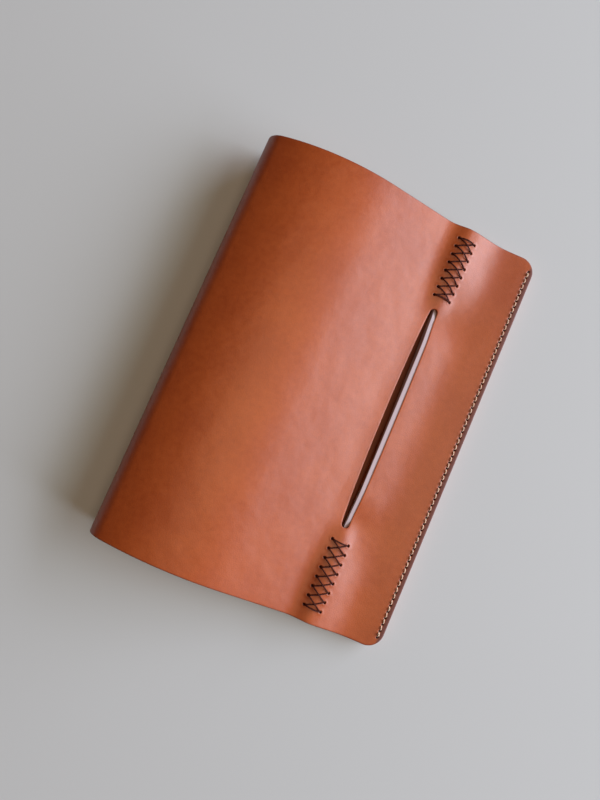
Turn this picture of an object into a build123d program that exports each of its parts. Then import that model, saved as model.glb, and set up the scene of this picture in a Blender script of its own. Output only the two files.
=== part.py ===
"""Leather notebook cover, closed and empty: a folded sheet, two inner flaps and their threads.

Frame: +Z up, +X from the spine to the fore edge, +Y towards the head of the cover.
The origin is the centre of the footprint, on the surface that the back lies on.
All lengths are in millimetres and all angles in degrees.
"""

import os
from math import asin, atan2, cos, degrees, radians, sin, sqrt

from build123d import *

# ---- The folded sheet ----
cover_length = 220.0          # along the spine
cover_width = 157.0           # from the outside of the spine to the fore edge
leather = 1.8                 # outer sheet
flap_leather = 1.3            # inner flaps
corner_radius = 8.5           # rounded corners at the fore edge
back_bend_radius = 15.5       # outside of the bend that rises from the back
front_bend_radius = 12.0      # outside of the tighter bend below the front
front_bend_angle = 72.0
crown_radius = 95.0           # outside of the broad arch of the front
slope_angle = 20.5            # fall of the front towards the fore edge
flare_radius = 100.0          # hollow curve where the front levels out again

# ---- Flaps and seams ----
flap_width = 40.7             # from the fore edge to the flap's free edge
flap_reach = 1.2              # from the flap's free edge to the ridge's crest
flap_gap = 0.1                # between a flap and its own panel
closing_gap = 0.4             # between the two flaps when the cover is closed
seam_inset = 2.8              # from the fore edge to the line of stitches
seam_end_margin = 6.0         # from the ends of the seam to the head and the tail
stitch_pitch = 3.46
stitch_space = 0.6            # between one stitch and the next
stitch_width = 0.8
stitch_slant = 12.0
groove_depth = 0.5            # the channel that the stitches lie in
groove_clearance = 0.15       # beside the stitches in their channel

# ---- Slit, and the ridge in line with it ----
slit_length = 123.2
slit_offset = 2.1             # the slit lies this much nearer the head than the tail
slit_width = 4.0              # at its round ends
slit_shift = -1.6             # from the ridge's crest to the middle of the round ends
slit_bow = 1.6                # outward bow of the lip on the spine side
slit_fore_bow = 0.7           # outward bow of the other lip
ridge_height = 4.4            # above the plain sheet, under the cross stitches
ridge_half_width = 14.0       # from the crest to the plain sheet
ridge_rise_at_slit = 0.6      # what is left of it beside the slit
ridge_fade = 14.0             # how far past the slit's ends it sinks to that
ridge_seat = 0.3              # how deep its lower face is sunk into the sheet
crest_skew = 0.007            # the crest drifts this much towards the fore edge for each mm to the tail

# ---- Cross stitches ----
lace_radius = 0.37
lace_hole_radius = 0.62
lace_shift = -0.8             # from the crest to the middle between the rows
lace_row_offset = 4.5         # from that middle to each row of holes
lace_holes = 8                # in each row
upper_lace_pitch = 4.7
upper_lace_margin = 6.7       # from the head to the first pair of holes
lower_lace_pitch = 5.05
lower_lace_margin = 8.0       # from the tail to the last pair of holes
lace_stagger = 0.4            # the row by the fore edge lies this much nearer the tail
lace_clearance = 0.2          # between a thread and what it lies on
lace_tail = 0.5               # what reaches out of a hole on the inside
lace_spans = 4                # straight lengths in a thread from row to row
lace_sides = 6                # flats round a thread
punch_sides = 8               # flats round a hole

# ---- Places that follow from those sizes ----
spine_x = -cover_width / 2
fore_x = cover_width / 2
head_y = cover_length / 2
tail_y = -cover_length / 2
fore_height = 2 * (leather + flap_gap + flap_leather) + closing_gap
seam_x = fore_x - seam_inset
free_edge_x = fore_x - flap_width
crest_x = free_edge_x + flap_reach
slit_head_y = slit_offset + slit_length / 2
slit_tail_y = slit_offset - slit_length / 2


def polar(centre, radius, angle):
    """The point at this radius and angle from a centre, in a cross-section."""
    return (
        centre[0] + radius * cos(radians(angle)),
        centre[1] + radius * sin(radians(angle)),
    )


# Bends of the cross-section, each with its centre and the angles where it begins and ends.
downwards = 270.0
back_bend_centre = (spine_x + back_bend_radius, back_bend_radius)
front_bend_centre = (spine_x + front_bend_radius, back_bend_radius)
crown_start = 180.0 - front_bend_angle
crown_end = 90.0 - slope_angle
crown_centre = polar(front_bend_centre, front_bend_radius - crown_radius, crown_start)
crown_height = crown_centre[1] + crown_radius
slope_top = polar(crown_centre, crown_radius, crown_end)
flare_start = downwards - slope_angle
flare_drop = flare_radius * (1 - cos(radians(slope_angle)))
slope_length = (slope_top[1] - fore_height - flare_drop) / sin(radians(slope_angle))
flare_centre = (
    slope_top[0] + slope_length * cos(radians(slope_angle)) + flare_radius * sin(radians(slope_angle)),
    fore_height + flare_radius,
)

# The two lines where the sheet folds. Each axis lies just outside the sheet, at the
# point about which a quarter turn lays the next stretch flat on the table.
back_axis_inset = back_bend_radius * (1 - radians(90) / 2)
back_axis = (spine_x + back_axis_inset, back_axis_inset)
arch_length = front_bend_radius * radians(front_bend_angle)
arch_length += crown_radius * radians(90 - front_bend_angle)
axis_lead = back_bend_radius + arch_length - (crown_centre[0] - spine_x)
front_axis = (
    spine_x + (crown_height - axis_lead) / 2,
    (crown_height + axis_lead) / 2,
)
back_split = 225.0
front_split = degrees(
    atan2(front_axis[1] - front_bend_centre[1], front_axis[0] - front_bend_centre[0])
)


def sheet_height(x):
    """Height of the front's outer face at x, on the hollow curve around the slit."""
    return flare_centre[1] - sqrt(flare_radius**2 - (x - flare_centre[0]) ** 2)


def crest_at(y):
    """Where the ridge's crest lies at this distance towards the head."""
    return crest_x - crest_skew * y


def ridge_rise(x, y):
    """Height of the full ridge above the plain sheet."""
    return ridge_height * (1 + cos(radians(180 * (x - crest_at(y)) / ridge_half_width))) / 2


def flare_angle(x, radius):
    """Angle, about the hollow curve's centre, of the point at x on this radius."""
    return downwards - degrees(asin((flare_centre[0] - x) / radius))


def close_sheet(outer, inner):
    """Join the ends of a sheet's outer and inner faces."""
    Line(outer[0], inner[0])
    Line(outer[1], inner[1])


# ---- Seams: one slanted stitch after another along the fore edge ----
stitch_count = int((cover_length - 2 * seam_end_margin) / stitch_pitch)
stitch_length = stitch_pitch - stitch_space
stitch_reach = stitch_length * sin(radians(stitch_slant)) + stitch_width
groove_width = stitch_reach + 2 * groove_clearance
groove_length = stitch_count * stitch_pitch + 2 * groove_clearance


def seam_groove(floor_height, depth):
    """Sketch and cut the channel of a seam, from its floor to the face of the leather."""
    with BuildSketch(Plane.XY.offset(floor_height)) as channel:
        with Locations((seam_x, 0)):
            Rectangle(groove_width, groove_length)
    extrude(channel.sketch, amount=depth, mode=Mode.SUBTRACT)


def seam_stitches(floor_height, depth, lean):
    """One row of pointed flat stitches that stand in their channel."""
    half_length = stitch_length / 2
    half_width = stitch_width / 2
    with BuildSketch(Plane.XY.offset(floor_height)) as row:
        with Locations((seam_x, 0)):
            with GridLocations(0, stitch_pitch, 1, stitch_count):
                Polygon(
                    (0, -half_length),
                    (half_width, -half_length + half_width),
                    (half_width, half_length - half_width),
                    (0, half_length),
                    (-half_width, half_length - half_width),
                    (-half_width, -half_length + half_width),
                    rotation=lean,
                )
    extrude(row.sketch, amount=depth)


# ---- Back panel: flat, with the first half of the bend that rises from it ----
def back_face(inset):
    """The back's face this far inside the outer one, from the fore edge to the split."""
    radius = back_bend_radius - inset
    Line((fore_x, inset), (back_bend_centre[0], inset))
    CenterArc(back_bend_centre, radius, downwards, back_split - downwards)
    return (fore_x, inset), polar(back_bend_centre, radius, back_split)


with BuildPart() as back_panel:
    with BuildSketch(Plane.XZ):
        with BuildLine():
            close_sheet(back_face(0), back_face(leather))
        make_face()
    extrude(amount=cover_length / 2, both=True)
    fillet(back_panel.edges().filter_by(Axis.Z).sort_by(Axis.X)[-2:], corner_radius)
    seam_groove(groove_depth, -groove_depth)


# ---- Spine: the rest of that bend and most of the one below the front ----
def spine_face(inset):
    """The spine's face this far inside the outer one, from split to split."""
    lower = back_bend_radius - inset
    upper = front_bend_radius - inset
    CenterArc(back_bend_centre, lower, back_split, 180 - back_split)
    CenterArc(front_bend_centre, upper, 180, front_split - 180)
    return polar(back_bend_centre, lower, back_split), polar(front_bend_centre, upper, front_split)


with BuildPart() as spine:
    with BuildSketch(Plane.XZ):
        with BuildLine():
            close_sheet(spine_face(0), spine_face(leather))
        make_face()
    extrude(amount=cover_length / 2, both=True)


# ---- Front panel: arch, slope, pinched ridge and slit ----
def front_face(inset):
    """The front's face this far inside the outer one, from the split to the fore edge."""
    bend = front_bend_radius - inset
    crown = crown_radius - inset
    flare = flare_radius + inset
    CenterArc(front_bend_centre, bend, front_split, crown_start - front_split)
    CenterArc(crown_centre, crown, crown_start, crown_end - crown_start)
    Line(polar(crown_centre, crown, crown_end), polar(flare_centre, flare, flare_start))
    CenterArc(flare_centre, flare, flare_start, slope_angle)
    Line((flare_centre[0], fore_height - inset), (fore_x, fore_height - inset))
    return polar(front_bend_centre, bend, front_split), (fore_x, fore_height - inset)


def ridge_profile(y, height, drop):
    """Cross-section of the ridge at y, with its crest at this height, let down by drop."""
    left = crest_at(y) - ridge_half_width
    right = crest_at(y) + ridge_half_width
    base = flare_radius + ridge_seat
    first = flare_angle(left, base)
    last = flare_angle(right, base)
    rises = (0, height / 2, height, height / 2, 0)
    places = [left + step * ridge_half_width / 2 for step in range(len(rises))]
    with BuildSketch(Plane((0, y, -drop), x_dir=(1, 0, 0), z_dir=(0, -1, 0))) as profile:
        with BuildLine():
            Spline(*[(x, sheet_height(x) + rise) for x, rise in zip(places, rises)])
            CenterArc(flare_centre, base, first, last - first)
            close_sheet(
                ((left, sheet_height(left)), (right, sheet_height(right))),
                (polar(flare_centre, base, first), polar(flare_centre, base, last)),
            )
        make_face()
    return profile.sketch


def ridge(drop, mode):
    """The ridge along the whole cover, which sinks beside the slit."""
    stations = [
        (tail_y, ridge_height),
        (slit_tail_y, ridge_height),
        (slit_tail_y + ridge_fade, ridge_rise_at_slit),
        (slit_head_y - ridge_fade, ridge_rise_at_slit),
        (slit_head_y, ridge_height),
        (head_y, ridge_height),
    ]
    sections = [ridge_profile(y, height, drop) for y, height in stations]
    for section, following in zip(sections, sections[1:]):
        loft([section, following], mode=mode)


def lace_places(first_y, pitch):
    """The pairs of holes of one group: the spine side and the fore-edge side of each."""
    rows_y = [first_y - place * pitch for place in range(lace_holes)]
    spine_side = [(crest_at(y) + lace_shift - lace_row_offset, y) for y in rows_y]
    fore_side = [(crest_at(y) + lace_shift + lace_row_offset, y - lace_stagger) for y in rows_y]
    return spine_side, fore_side


def slit_point(y, side, bow=0):
    """A point of the slit's outline: side is -1, 0 or 1, from the spine to the fore edge."""
    return crest_at(y) + slit_shift + side * (slit_width / 2 + bow), y


upper_lace = lace_places(head_y - upper_lace_margin, upper_lace_pitch)
lower_lace = lace_places(
    tail_y + lower_lace_margin + (lace_holes - 1) * lower_lace_pitch, lower_lace_pitch
)

with BuildPart() as front_panel:
    with BuildSketch(Plane.XZ):
        with BuildLine():
            close_sheet(front_face(0), front_face(leather))
        make_face()
    extrude(amount=cover_length / 2, both=True)
    fillet(front_panel.edges().filter_by(Axis.Z).sort_by(Axis.X)[-2:], corner_radius)
    ridge(0, Mode.ADD)
    ridge(leather, Mode.SUBTRACT)
    lip_head_y = slit_head_y - slit_width / 2
    lip_tail_y = slit_tail_y + slit_width / 2
    spine_lip = slit_point(slit_offset, -1, slit_bow)
    fore_lip = slit_point(slit_offset, 1, slit_fore_bow)
    with BuildSketch(Plane.XY):
        with BuildLine():
            ThreePointArc(slit_point(lip_tail_y, -1), spine_lip, slit_point(lip_head_y, -1))
            ThreePointArc(
                slit_point(lip_head_y, -1), slit_point(slit_head_y, 0), slit_point(lip_head_y, 1)
            )
            ThreePointArc(slit_point(lip_head_y, 1), fore_lip, slit_point(lip_tail_y, 1))
            ThreePointArc(
                slit_point(lip_tail_y, 1), slit_point(slit_tail_y, 0), slit_point(lip_tail_y, -1)
            )
        make_face()
    extrude(amount=crown_height, mode=Mode.SUBTRACT)
    with BuildSketch(Plane.XY):
        with Locations(*upper_lace[0], *upper_lace[1], *lower_lace[0], *lower_lace[1]):
            RegularPolygon(lace_hole_radius, punch_sides)
    extrude(amount=crown_height, mode=Mode.SUBTRACT)
    seam_groove(fore_height - groove_depth, groove_depth)

# ---- Inner flaps: one sewn to each panel along the fore edge ----
with BuildPart() as back_flap:
    with BuildSketch(Plane.XY.offset(leather + flap_gap)):
        with Locations((fore_x - flap_width / 2, 0)):
            Rectangle(flap_width, cover_length)
    extrude(amount=flap_leather)
    fillet(back_flap.edges().filter_by(Axis.Z).sort_by(Axis.X)[-2:], corner_radius)
    back_flap_top = leather + flap_gap + flap_leather
    seam_groove(back_flap_top - groove_depth, groove_depth)


def flap_face(inset):
    """The front flap's face this far inside the cover's, from its free edge to the fore edge."""
    radius = flare_radius + inset
    start = flare_angle(free_edge_x, radius)
    CenterArc(flare_centre, radius, start, downwards - start)
    Line((flare_centre[0], fore_height - inset), (fore_x, fore_height - inset))
    return polar(flare_centre, radius, start), (fore_x, fore_height - inset)


with BuildPart() as front_flap:
    with BuildSketch(Plane.XZ):
        with BuildLine():
            close_sheet(
                flap_face(leather + flap_gap), flap_face(leather + flap_gap + flap_leather)
            )
        make_face()
    extrude(amount=cover_length / 2, both=True)
    fillet(front_flap.edges().filter_by(Axis.Z).sort_by(Axis.X)[-2:], corner_radius)
    front_flap_base = fore_height - leather - flap_gap - flap_leather
    seam_groove(front_flap_base + groove_depth, -groove_depth)

# ---- Seam threads: stitches on the outside of the cover and on the inside of the flap ----
with BuildPart() as back_seam_thread:
    seam_stitches(0, groove_depth, -stitch_slant)
    seam_stitches(back_flap_top - groove_depth, groove_depth, stitch_slant)

with BuildPart() as front_seam_thread:
    seam_stitches(fore_height - groove_depth, groove_depth, stitch_slant)
    seam_stitches(front_flap_base, groove_depth, -stitch_slant)


# ---- Cross stitches: threads laced over the ridge from one row of holes to the other ----
def laced_height(x, y):
    """Height of the front's outer face at a place on the full ridge."""
    return sheet_height(x) + ridge_rise(x, y)


def lace_thread(start, end, lift):
    """A thread that arches over the ridge between two holes, lift above its crest."""
    route_points = []
    for step in range(lace_spans + 1):
        share = step / lace_spans
        x = start[0] + share * (end[0] - start[0])
        y = start[1] + share * (end[1] - start[1])
        over_row = 1 - (2 * share - 1) ** 2
        z = laced_height(x, y) + lace_radius + lace_clearance + over_row * lift
        route_points.append((x, y, z))
    with BuildLine() as route:
        Polyline(*route_points)
    with BuildSketch(Plane(origin=route_points[0], z_dir=route.line % 0)) as section:
        RegularPolygon(lace_radius, lace_sides)
    sweep(section.sketch, path=route.line, transition=Transition.RIGHT)


def lace(places):
    """All threads of one group, joined by the short lengths that go down through the holes."""
    spine_side, fore_side = places
    for x, y in (*spine_side, *fore_side):
        face = laced_height(x, y)
        foot = face - leather - lace_tail
        with BuildSketch(Plane.XY.offset(foot)) as section:
            with Locations((x, y)):
                RegularPolygon(lace_radius, lace_sides)
        extrude(section.sketch, amount=face + lace_clearance + 2 * lace_radius - foot)
    for place in range(lace_holes - 1):
        lace_thread(spine_side[place + 1], fore_side[place], 0)
        lace_thread(spine_side[place], fore_side[place + 1], 2 * lace_radius + lace_clearance)
    lace_thread(spine_side[0], fore_side[0], 0)
    lace_thread(spine_side[-1], fore_side[-1], 0)


with BuildPart() as upper_cross_stitch:
    lace(upper_lace)

with BuildPart() as lower_cross_stitch:
    lace(lower_lace)

# ---- Export: one file for each piece ----
pieces = {
    "back_panel": back_panel,
    "spine": spine,
    "front_panel": front_panel,
    "back_flap": back_flap,
    "front_flap": front_flap,
    "back_seam_thread": back_seam_thread,
    "front_seam_thread": front_seam_thread,
    "upper_cross_stitch": upper_cross_stitch,
    "lower_cross_stitch": lower_cross_stitch,
}
os.makedirs("parts", exist_ok=True)
for name, piece in pieces.items():
    piece.part.label = name
    export_step(piece.part, f"parts/{name}.step")

print("back fold axis at x, z:", back_axis)
print("front fold axis at x, z:", front_axis)
print("height of the closed cover:", crown_height)
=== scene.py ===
"""Leather notebook cover: its leathers, threads and stage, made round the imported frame.

The leathers are cut flat, as the real ones are, and then rolled along the cover's
cross-section. A place on a flat leather is (s, y, h): s runs along the cross-section's
outer face from the back's fore edge round the spine to the front's, y runs along the
spine towards the head, and h is the height above the outer face.
Lengths are in metres and angles in radians.
"""

from math import ceil, cos, exp, hypot, pi, radians, sin, tau

import bpy
from bpy.props import FloatProperty, FloatVectorProperty, IntProperty, PointerProperty
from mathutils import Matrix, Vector
from mathutils.geometry import delaunay_2d_cdt


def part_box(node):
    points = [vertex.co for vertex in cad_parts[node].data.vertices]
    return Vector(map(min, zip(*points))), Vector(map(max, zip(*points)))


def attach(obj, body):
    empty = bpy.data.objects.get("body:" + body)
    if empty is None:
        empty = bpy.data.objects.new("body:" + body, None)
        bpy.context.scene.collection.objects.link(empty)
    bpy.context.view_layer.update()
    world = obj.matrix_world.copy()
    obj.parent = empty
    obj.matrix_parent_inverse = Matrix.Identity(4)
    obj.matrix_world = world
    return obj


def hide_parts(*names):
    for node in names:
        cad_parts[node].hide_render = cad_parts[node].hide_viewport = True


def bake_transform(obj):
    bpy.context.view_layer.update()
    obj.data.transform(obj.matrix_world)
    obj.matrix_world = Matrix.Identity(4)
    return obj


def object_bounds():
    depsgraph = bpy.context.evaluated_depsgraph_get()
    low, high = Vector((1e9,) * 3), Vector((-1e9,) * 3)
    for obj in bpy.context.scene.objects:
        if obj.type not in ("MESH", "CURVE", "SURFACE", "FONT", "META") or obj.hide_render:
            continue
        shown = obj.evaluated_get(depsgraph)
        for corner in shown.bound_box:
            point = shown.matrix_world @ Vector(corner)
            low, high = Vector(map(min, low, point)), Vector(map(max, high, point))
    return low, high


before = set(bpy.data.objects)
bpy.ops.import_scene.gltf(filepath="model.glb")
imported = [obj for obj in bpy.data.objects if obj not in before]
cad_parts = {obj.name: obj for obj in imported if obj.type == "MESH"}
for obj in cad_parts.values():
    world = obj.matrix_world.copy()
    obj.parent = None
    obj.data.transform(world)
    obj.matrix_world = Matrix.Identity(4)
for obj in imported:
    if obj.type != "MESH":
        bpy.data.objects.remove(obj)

bl_info = {
    "name": "Notebook cover",
    "version": (1, 0, 0),
    "blender": (4, 5, 0),
    "location": "3D View > Sidebar > Notebook cover",
    "description": "Rolls, sews and laces the leathers of a notebook cover",
    "category": "Object",
}

MM = 0.001
HAIR = 0.0001 * MM  # places closer than this are the same
PROFILE_STEP = 0.25 * MM  # between the points of the cross-section
CAD_BOX = [list(corner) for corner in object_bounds()]
SPINE_X, TAIL_Y, _ = CAD_BOX[0]
FORE_X, HEAD_Y, _ = CAD_BOX[1]

# ---- How the leathers are worked ----
# A rounded edge: the angles of its steps from the rim inwards, and how burnished each is.
EDGE_ANGLES = (0, 30, 60, 90)
EDGE_WEAR = (1, 0.9, 0.5, 0.15)
WEAR_REACH = 1.0 * MM  # how far inside an edge the burnish ends
COVER_EDGE = 0.5 * MM
LACE_HOLE_EDGE = 0.3 * MM
SLIT_EDGE, SLIT_BURN = 0.28 * MM, 0.08
FLAP_EDGE, FLAP_BURN = 0.18 * MM, 0.05
FREE_CORNER = 1.2 * MM
# Between the points of a rounded corner, of the slit's ends and of its lips.
CORNER_STEP = 0.12
SLIT_END_STEP = 0.22
SLIT_LIP_STEP = 1.2 * MM
# Beside an edge, the slit and a flap's edge, where a pattern has no points of its own.
EDGE_ROOM = 1.35 * MM
EDGE_MARGIN = 1.4 * MM
SLIT_ROOM = 1.3 * MM
FLAP_ROOM = 0.85 * MM
# The painted shade on the fold at the spine, and the darker band outside a seam.
FOLD_SHADE = 0.3
BAND_DARKENING, BAND_EDGE = 0.85, 0.9 * MM

# ---- How the ridge stands ----
RIDGE_BELL = 3.2  # the higher, the narrower the crest
LIP_STEP = 3.6 * MM  # from the crest to where the fore lip's rise ends
PUCKER_PLACE, PUCKER_LENGTH, PUCKER_WIDTH = 4 * MM, 7 * MM, 5 * MM
# The flesh side is pared beside the slit's fore lip: how much, and from where to where.
SKIVE = 1.6 * MM
SKIVE_START, SKIVE_REACH = -1 * MM, 5 * MM
# The front flap's free edge shows in the slit, and curls up a little.
PEEK = 0.45 * MM  # how much further it reaches into the slit than the plain flap
CURL, CURL_REACH, CURL_FADE = 0.25 * MM, 2.6 * MM, 3 * MM
FREE_STRIP = 2.5 * MM
LIFT_FADE = 12 * MM  # past the slit's ends, where the flap sinks back to the plain sheet

# ---- How the threads lie ----
PLIES = 3
# A seam's stitch is repeated often, so it has fewer faces: sides of a ply, and bends.
LACE_PLY_SIDES, SEAM_PLY_SIDES = 6, 5
STITCH_BENDS = 4
STITCH_STRAY = radians(2)
STITCH_DIP = 0.6 * MM  # how deep a stitch's ends sink into its holes
STITCH_CLEAR = 0.05 * MM
END_STITCH = 1.45  # how much thicker the two end stitches are
SEAM_TWIST = 1.4  # how much looser a seam's thread is twisted
# A pricked hole: half its width and length, its depth, and how much more it leans.
PRICK_WIDE, PRICK_TALL, PRICK_DEPTH, PRICK_LEAN = 0.52 * MM, 0.70 * MM, 0.7 * MM, 0.5
PRICK_POINTS = 10
PRICK_ROOM = 1.1 * MM
SEAM_ROOM = 1 * MM
PIT_SHADE = 2.0  # painted shade at its bottom, where 1 is the burnished tone and more is darker still
# Its rings: size and depth, as shares, and wear, which paints shade down the hole.
PRICK_RINGS = ((0.6, 0.85, PIT_SHADE), (0.9, 0.4, 1.3), (1.15, 0.08, 0.4), (1.5, 0, 0))
# The groove that a seam presses into the leather.
GROOVE_DEPTH, GROOVE_WIDTH, GROOVE_FADE = 0.16 * MM, 0.55 * MM, 1.5 * MM
# The raised ring round a lace hole.
RING_HEIGHT, RING_RADIUS, RING_WIDTH = 0.13 * MM, 1.15 * MM, 0.5 * MM
RING_POINTS = 20
RING_DEPTHS = (0.55 * MM, 1.35 * MM)  # rings of points round a hole's burnished edge
DENT_REACH = 3 * MM
LACE_BAND = 9 * MM  # on each side of the crest, the band that holds the laces
LACE_ROOM = 2.3 * MM
LACE_STEP = 0.3 * MM
LACE_POINTS = 0.7 * MM  # between the points of a lace's way over the face
LACE_BOW = 0.2 * MM
LACE_RISE, LACE_SINK = 1.1, 0.7  # of the upper and the lower lace of a cross, in radii
PULL = 0.2 * MM  # how far a lace lies from the middle of its hole, towards the other row
# A lace leaves its hole within this reach, from this depth, past these places.
DIVE_REACH, DIVE_DEPTH = 1.1 * MM, 1.5 * MM
DIVE_PLACES = (0.02 * MM, 0.12 * MM, 0.35 * MM, 0.65 * MM)
# Under the leather: the share of the way, and how many radii the thread hangs down.
HIDDEN_WAY = ((0, -1), (0.12, 0.1), (0.35, 0.25), (0.65, 0.25), (0.88, 0.1), (1, -1))

# ---- How the table, the lights and the camera stand ----
TABLE_HALF = 1.1
TABLE_DROP = 0.05 * MM
LIGHT_REACH = 2.6
# Each light: its side and height in degrees, its size, power and tint.
LIGHTS = (
    ("window", 22, 20, (3.9, 1.4), 145, (0.81, 0.87, 1.0)),
    ("ceiling", 10, 40, (2.1, 1.0), 18, (0.86, 0.98, 0.98)),
    ("overhead", 10, 82, (1.6, 1.6), 17, (1.0, 0.72, 0.45)),
)
ROOM_TINT, ROOM_STRENGTH = (1.0, 0.94, 0.84, 1), 0.04
FOCAL_LENGTH = 27.1
CAMERA_PLACE = (-3.872 * MM, -31.271 * MM, 321.502 * MM)
CAMERA_TURN = (radians(4.191), radians(0.909), radians(23.548))


# ---- Sizes and colours that a user would change ----
def length(name, default, description):
    """A length property, with its default in millimetres."""
    return FloatProperty(
        name=name,
        description=description,
        default=default * MM,
        unit="LENGTH",
        subtype="DISTANCE",
        precision=5,
    )


def turn(name, default, description):
    """An angle property, with its default in degrees."""
    return FloatProperty(
        name=name, description=description, default=radians(default), subtype="ANGLE"
    )


def colour(name, default, description):
    """A colour property."""
    return FloatVectorProperty(
        name=name, description=description, default=default, size=3, subtype="COLOR", min=0, max=1
    )


class CoverShape(bpy.types.PropertyGroup):
    """The folded sheet, its flaps, its slit and its ridge.

    A shift is towards the fore edge, and less than 0 towards the spine.
    """

    leather: length("Leather", 1.8, "Thickness of the outer leather")
    flap_leather: length("Flap leather", 1.3, "Thickness of the flaps")
    flap_gap: length("Flap gap", 0.02, "Between a flap and the panel that it is sewn to")
    corner_radius: length("Corner radius", 8.5, "Rounded corners at the fore edge")
    back_bend: length("Back bend", 15.5, "Outer radius of the bend that rises from the back")
    front_bend: length("Front bend", 12, "Outer radius of the bend below the front")
    front_bend_angle: turn("Front bend angle", 72, "How far the front bend turns")
    crown_radius: length("Crown radius", 95, "Outer radius of the broad arch of the front")
    slope_angle: turn("Slope", 20.5, "Fall of the front towards the fore edge")
    flare_radius: length("Flare radius", 100, "Hollow curve where the front levels out")
    fore_height: length("Fore height", 6.8, "Height of the front at the fore edge")
    slit_length: length("Slit length", 123.2, "From tip to tip of the slit")
    slit_offset: length("Slit offset", 2.1, "How far the slit lies towards the head")
    slit_width: length("Slit width", 4, "Width of the slit at its round ends")
    slit_shift: length("Slit shift", -1.6, "From the ridge's crest to the middle of the slit")
    slit_bow: length("Slit bow", 1.6, "Outward bow of the lip on the spine side")
    slit_fore_bow: length("Slit fore bow", 0.7, "Outward bow of the other lip")
    ridge_height: length("Ridge height", 4.2, "Height of the ridge under the cross stitches")
    ridge_spine_width: length("Ridge spine width", 16, "From the crest to the plain sheet")
    ridge_fore_width: length("Ridge fore width", 30, "The same on the other side")
    ridge_rest: length("Ridge rest", 0.15, "Height that is left beside the slit")
    ridge_fade: length("Ridge fade", 34, "Length over which the ridge sinks towards the slit")
    ridge_lead: length("Ridge lead", 26, "How far before the slit's ends that begins")
    pucker: length("Pucker", 1.0, "Extra height of the ridge just past the slit's ends")
    lip_rise: length("Lip rise", 2.2, "How far the slit's fore lip is lifted")
    lip_fade: length("Lip fade", 22, "Length over which it rises, from each end of the slit")


class CoverThreads(bpy.types.PropertyGroup):
    """The sewn seams and the cross stitches, with shifts as in the shape."""

    seam_thread: length("Seam thread", 0.43, "Radius of the seams' thread")
    seam_inset: length("Seam inset", 2.8, "From the fore edge to the line of stitches")
    stitch_pitch: length("Stitch pitch", 3.46, "From one stitch of a seam to the next")
    stitch_space: length("Stitch space", 1.2, "Between one stitch of a seam and the next")
    stitch_slant: turn("Stitch slant", 9, "How far a stitch leans from the seam's line")
    lace_thread: length("Lace thread", 0.46, "Radius of the cross stitches' thread")
    lace_hole: length("Lace hole", 0.62, "Radius of the holes of the cross stitches")
    lace_shift: length("Lace shift", -0.8, "From the crest to the middle between the rows")
    lace_row_offset: length("Lace row offset", 4.5, "From that middle to each row of holes")
    lace_holes: IntProperty(name="Lace holes", description="Holes in each row", default=8, min=2)
    upper_lace_pitch: length("Upper lace pitch", 4.7, "Between the holes near the head")
    lower_lace_pitch: length("Lower lace pitch", 5.05, "Between the holes near the tail")
    lower_lace_shift: length("Lower lace shift", -0.5, "Added to the lace shift near the tail")
    lower_lace_lean: turn("Lower lace lean", 1.3, "How far the lower rows lean from the crest")
    lace_stagger: length("Lace stagger", 0.4, "How far the fore row lies nearer the tail")
    twist: length("Twist", 2.4, "Length of one turn of a thread's plies")


class CoverColours(bpy.types.PropertyGroup):
    """Colours of the leathers, the threads and the table."""

    tan: colour("Tan", (0.45, 0.080, 0.010), "Grain side of the outer leather")
    tan_deep: colour("Deep tan", (0.39, 0.062, 0.007), "Darker clouds in the grain side")
    # Also the painted shade on the spine fold and round the pricked holes.
    burnish_and_shade: colour("Burnish", (0.085, 0.016, 0.009), "Burnished edges and punched holes")
    flesh: colour("Flesh", (0.52, 0.165, 0.095), "Flesh side of the outer leather")
    flap: colour("Flap", (0.50, 0.385, 0.40), "Undyed leather of the front flap")
    back_flap: colour("Back flap", (0.52, 0.11, 0.035), "Leather of the back flap")
    flap_edge: colour("Flap edge", (0.16, 0.030, 0.020), "Cut edges of the flaps")
    # Painted shade at the bottom of a pricked hole.
    pit_shade: colour("Pit", (0.05, 0.012, 0.007), "The bottom of a pricked hole")
    seam: colour("Seam thread", (1.0, 0.70, 0.52), "Waxed thread of the seams")
    lace: colour("Lace thread", (0.085, 0.013, 0.007), "Waxed thread of the cross stitches")
    table: colour("Table", (0.61, 0.62, 0.63), "The table under the cover")


# ---- The cross-section ----
def smooth(t):
    """Smooth step from 0 to 1."""
    t = min(max(t, 0.0), 1.0)
    return t * t * (3 - 2 * t)


def polar(centre, radius, angle):
    """The point at this radius and angle from a centre, in the cross-section."""
    return centre[0] + radius * cos(angle), centre[1] + radius * sin(angle)


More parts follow.
